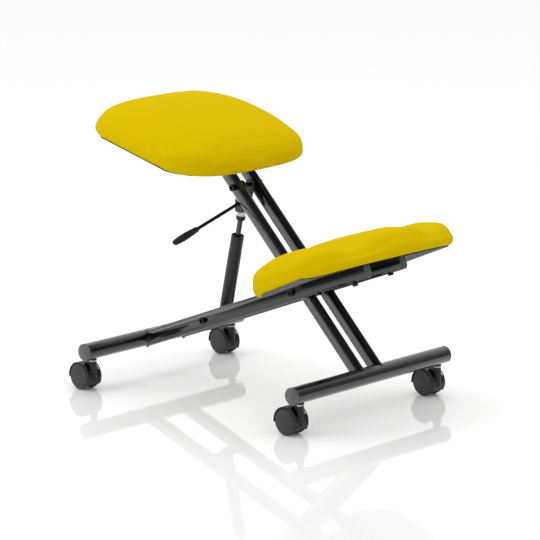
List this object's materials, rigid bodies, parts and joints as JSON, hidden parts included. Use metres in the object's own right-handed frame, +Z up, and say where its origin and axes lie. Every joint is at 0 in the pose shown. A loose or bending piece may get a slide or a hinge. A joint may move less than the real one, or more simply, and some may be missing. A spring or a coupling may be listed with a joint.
{
  "type": "kneeling chair",
  "caption": "Rolling kneeling chair with a tilted seat and a knee pad on crossed tube frames, set by a gas spring and a lever.",
  "frame": {"origin": "bottom centre of the bounding box, on the floor under the castor wheels", "axes": "+Z up, +Y towards the rear under the seat, -Y towards the knee pad and the front, +X to the left of a sitter"},
  "size_m": [0.431, 0.6532, 0.5377],
  "materials": {
    "frame_steel": "gloss black powder coat",
    "cap_plastic": "dark grey moulded plastic",
    "socket_plastic": "black moulded nylon",
    "cover_fabric": "fine woven yellow upholstery",
    "board_plywood": "bare birch plywood",
    "black_screws": "black oxide steel",
    "zinc_hardware": "zinc plated",
    "black_spacers": "black coated steel",
    "bush_nylon": "black nylon",
    "spring_paint": "satin black paint",
    "guide_plastic": "black acetal",
    "rod_steel": "dark nitrided steel",
    "ring_nylon": "natural nylon, cream",
    "bracket_steel": "black coated steel plate",
    "pin_steel": "ground",
    "lever_steel": "black coated steel rod",
    "grip_plastic": "soft black plastic",
    "hood_nylon": "black nylon",
    "wheel_nylon": "black nylon",
    "stem_steel": "bright steel"
  },
  "bodies": {
    "knee_frame": {"rear_cross_tube": "frame_steel", "rear_tube_caps": "cap_plastic", "rear_castor_sockets": "socket_plastic", "knee_tube_right": "frame_steel", "knee_tube_left": "frame_steel", "knee_tube_caps": "cap_plastic", "knee_board": "board_plywood", "knee_cushion": "cover_fabric", "knee_bolts": "black_screws", "knee_saddles": "black_spacers", "knee_tee_nuts": "zinc_hardware", "pivot_bolt": "black_screws", "pivot_nut": "zinc_hardware", "pivot_spacers": "black_spacers", "gas_foot_bolt": "black_screws", "gas_foot_nut": "zinc_hardware", "gas_foot_spacers": "black_spacers"},
    "seat_frame": {"front_cross_tube": "frame_steel", "front_tube_caps": "cap_plastic", "front_castor_sockets": "socket_plastic", "seat_post_right": "frame_steel", "seat_post_left": "frame_steel", "pivot_bushes": "bush_nylon", "gas_head_bolt": "black_screws", "gas_head_nut": "zinc_hardware", "gas_head_spacers": "black_spacers", "seat_plate": "frame_steel", "seat_board": "board_plywood", "seat_cushion": "cover_fabric", "seat_screws": "black_screws", "seat_tee_nuts": "zinc_hardware"},
    "gas_cylinder": {"gas_cylinder": "spring_paint", "gas_guide": "guide_plastic"},
    "gas_rod": {"piston_rod": "rod_steel", "jam_nut": "spring_paint", "nylon_rings": "ring_nylon", "rod_bracket": "bracket_steel"},
    "release_pin": {"release_pin": "pin_steel"},
    "release_lever": {"lever_rod": "lever_steel", "lever_grip": "grip_plastic"},
    "castor_rear_right": {"castor_stem_rear_right": "stem_steel", "castor_hood_rear_right": "hood_nylon", "castor_axle_rear_right": "stem_steel"},
    "wheel_rear_right_outer": {"wheel_rear_right_outer": "wheel_nylon"},
    "wheel_rear_right_inner": {"wheel_rear_right_inner": "wheel_nylon"},
    "castor_rear_left": {"castor_stem_rear_left": "stem_steel", "castor_hood_rear_left": "hood_nylon", "castor_axle_rear_left": "stem_steel"},
    "wheel_rear_left_outer": {"wheel_rear_left_outer": "wheel_nylon"},
    "wheel_rear_left_inner": {"wheel_rear_left_inner": "wheel_nylon"},
    "castor_front_right": {"castor_stem_front_right": "stem_steel", "castor_hood_front_right": "hood_nylon", "castor_axle_front_right": "stem_steel"},
    "wheel_front_right_outer": {"wheel_front_right_outer": "wheel_nylon"},
    "wheel_front_right_inner": {"wheel_front_right_inner": "wheel_nylon"},
    "castor_front_left": {"castor_stem_front_left": "stem_steel", "castor_hood_front_left": "hood_nylon", "castor_axle_front_left": "stem_steel"},
    "wheel_front_left_outer": {"wheel_front_left_outer": "wheel_nylon"},
    "wheel_front_left_inner": {"wheel_front_left_inner": "wheel_nylon"}
  },
  "joints": [
    {"name": "frame_pivot", "type": "hinge", "parent": "knee_frame", "child": "seat_frame", "pos_m": [0, -0.10772, 0.21797], "axis": [1, 0, 0], "range_deg": [-7, 15]},
    {"name": "cylinder_tilt", "type": "hinge", "parent": "knee_frame", "child": "gas_cylinder", "pos_m": [0, 0.11426, 0.13409], "axis": [1, 0, 0], "range_deg": [-3.6, 7.6]},
    {"name": "rod_tilt", "type": "hinge", "parent": "seat_frame", "child": "gas_rod", "pos_m": [0, 0.05664, 0.38913], "axis": [1, 0, 0], "range_deg": [-7.6, 3.6]},
    {"name": "lever_lift", "type": "hinge", "parent": "gas_rod", "child": "release_lever", "pos_m": [-0.011, 0.06421, 0.35561], "axis": [0, 0.9754, 0.2204], "range_deg": [0, 8], "stiffness_Nm_per_rad": 1.2, "springref_deg": -6.88},
    {"name": "pin_press", "type": "slide", "parent": "gas_rod", "child": "release_pin", "axis": [0, 0.2204, -0.9754], "range_m": [0, 0.003]},
    {"name": "swivel_rear_right", "type": "hinge", "parent": "knee_frame", "child": "castor_rear_right", "pos_m": [-0.19, 0.27594, 0.025], "axis": [0, 0, 1], "continuous": true},
    {"name": "spin_rear_right_outer", "type": "hinge", "parent": "castor_rear_right", "child": "wheel_rear_right_outer", "pos_m": [-0.18885, 0.29791, 0.025], "axis": [0.9986, -0.0523, 0], "continuous": true},
    {"name": "spin_rear_right_inner", "type": "hinge", "parent": "castor_rear_right", "child": "wheel_rear_right_inner", "pos_m": [-0.18885, 0.29791, 0.025], "axis": [0.9986, -0.0523, 0], "continuous": true},
    {"name": "swivel_rear_left", "type": "hinge", "parent": "knee_frame", "child": "castor_rear_left", "pos_m": [0.19, 0.27594, 0.025], "axis": [0, 0, 1], "continuous": true},
    {"name": "spin_rear_left_outer", "type": "hinge", "parent": "castor_rear_left", "child": "wheel_rear_left_outer", "pos_m": [0.19192, 0.29785, 0.025], "axis": [0.9962, -0.0872, 0], "continuous": true},
    {"name": "spin_rear_left_inner", "type": "hinge", "parent": "castor_rear_left", "child": "wheel_rear_left_inner", "pos_m": [0.19192, 0.29785, 0.025], "axis": [0.9962, -0.0872, 0], "continuous": true},
    {"name": "swivel_front_right", "type": "hinge", "parent": "seat_frame", "child": "castor_front_right", "pos_m": [-0.19, -0.24406, 0.025], "axis": [0, 0, 1], "continuous": true},
    {"name": "spin_front_right_outer", "type": "hinge", "parent": "castor_front_right", "child": "wheel_front_right_outer", "pos_m": [-0.18962, -0.22207, 0.025], "axis": [0.9998, -0.0175, 0], "continuous": true},
    {"name": "spin_front_right_inner", "type": "hinge", "parent": "castor_front_right", "child": "wheel_front_right_inner", "pos_m": [-0.18962, -0.22207, 0.025], "axis": [0.9998, -0.0175, 0], "continuous": true},
    {"name": "swivel_front_left", "type": "hinge", "parent": "seat_frame", "child": "castor_front_left", "pos_m": [0.19, -0.24406, 0.025], "axis": [0, 0, 1], "continuous": true},
    {"name": "spin_front_left_outer", "type": "hinge", "parent": "castor_front_left", "child": "wheel_front_left_outer", "pos_m": [0.19077, -0.22208, 0.025], "axis": [0.9994, -0.0349, 0], "continuous": true},
    {"name": "spin_front_left_inner", "type": "hinge", "parent": "castor_front_left", "child": "wheel_front_left_inner", "pos_m": [0.19077, -0.22208, 0.025], "axis": [0.9994, -0.0349, 0], "continuous": true}
  ],
  "couplings": [
    {"joint": "cylinder_tilt", "follows": "frame_pivot", "ratio": 0.5},
    {"joint": "rod_tilt", "follows": "frame_pivot", "ratio": -0.5},
    {"joint": "pin_press", "follows": "lever_lift", "m_per_rad": 0.011}
  ]
}
